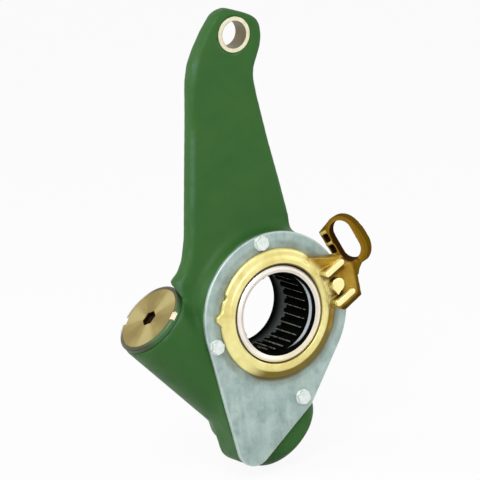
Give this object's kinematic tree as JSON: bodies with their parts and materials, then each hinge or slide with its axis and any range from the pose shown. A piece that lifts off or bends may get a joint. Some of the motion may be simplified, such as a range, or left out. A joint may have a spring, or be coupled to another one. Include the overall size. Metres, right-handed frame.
{
  "type": "brake slack adjuster",
  "caption": "Automatic brake slack adjuster: cast arm with a clevis eye, splined worm wheel, worm under an end cover, and a control arm that drives a rack and pinion.",
  "frame": {"origin": "on the axis of the splined bore, at the middle of the worm wheel hub", "axes": "-Y is the front, along the bore toward the control arm; +Z runs from the bore to the clevis eye; X is across"},
  "size_m": [0.1299, 0.059, 0.2427],
  "materials": {
    "painted_casting": "green paint over a casting",
    "bush_steel": "turned steel",
    "gasket": "matt",
    "zinc_plate": "zinc plated sheet, spangled",
    "screw_zinc": "bright zinc",
    "cover_tan": "turned, yellow passivated",
    "yellow_zinc": "yellow passivated zinc",
    "wheel_steel": "turned steel",
    "worm_steel": "ground steel",
    "spring_steel": "oiled spring steel",
    "cage_brass": "pressed brass",
    "bronze": "sintered bronze",
    "rack_steel": "milled steel",
    "disc_steel": "stamped steel",
    "seal_rubber": "matt rubber"
  },
  "bodies": {
    "housing": {"housing": "painted_casting", "clevis_bush": "bush_steel", "cover_gasket": "gasket", "cover_plate": "zinc_plate", "cover_screws": "screw_zinc", "end_cover": "cover_tan", "end_cover_oring": "seal_rubber", "coil_spring": "spring_steel", "upper_race": "worm_steel", "lower_bush": "bronze", "hex_seal": "seal_rubber", "rear_oring": "seal_rubber"},
    "worm": {"worm_shaft": "worm_steel", "clutch_wheel": "rack_steel", "lower_race": "worm_steel"},
    "bearing_cage": {"ball_cage": "cage_brass", "thrust_balls": "worm_steel"},
    "worm_wheel": {"worm_wheel": "wheel_steel"},
    "pinion": {"pinion": "rack_steel", "clutch_spring": "spring_steel"},
    "rack": {"rack": "rack_steel"},
    "control_arm": {"control_arm": "yellow_zinc", "control_disc": "disc_steel", "disc_pins": "worm_steel", "collar_oring": "seal_rubber", "hub_oring": "seal_rubber"}
  },
  "joints": [
    {"name": "worm_turn", "type": "hinge", "parent": "housing", "child": "worm", "pos_m": [-0.02968, 0.0075, -0.02682], "axis": [-0.6704, 0, 0.742], "continuous": true},
    {"name": "cage_turn", "type": "hinge", "parent": "housing", "child": "bearing_cage", "pos_m": [-0.02968, 0.0075, -0.02682], "axis": [-0.6704, 0, 0.742], "continuous": true},
    {"name": "wheel_turn", "type": "hinge", "parent": "housing", "child": "worm_wheel", "pos_m": [0, 0, 0], "axis": [0, 1, 0], "continuous": true},
    {"name": "control_swing", "type": "hinge", "parent": "housing", "child": "control_arm", "pos_m": [0, 0, 0], "axis": [0, 1, 0], "range_deg": [0, 24]},
    {"name": "rack_slide", "type": "slide", "parent": "housing", "child": "rack", "axis": [-0.742, 0, -0.6704], "range_m": [0, 0.0132]},
    {"name": "pinion_turn", "type": "hinge", "parent": "housing", "child": "pinion", "pos_m": [-0.02968, 0.0075, -0.02682], "axis": [-0.6704, 0, 0.742], "range_deg": [-63.1, 0]}
  ],
  "couplings": [
    {"joint": "wheel_turn", "follows": "worm_turn", "ratio": -0.05},
    {"joint": "cage_turn", "follows": "worm_turn", "ratio": 0.5},
    {"joint": "rack_slide", "follows": "control_swing", "m_per_rad": 0.0315},
    {"joint": "pinion_turn", "follows": "control_swing", "ratio": -2.625}
  ]
}
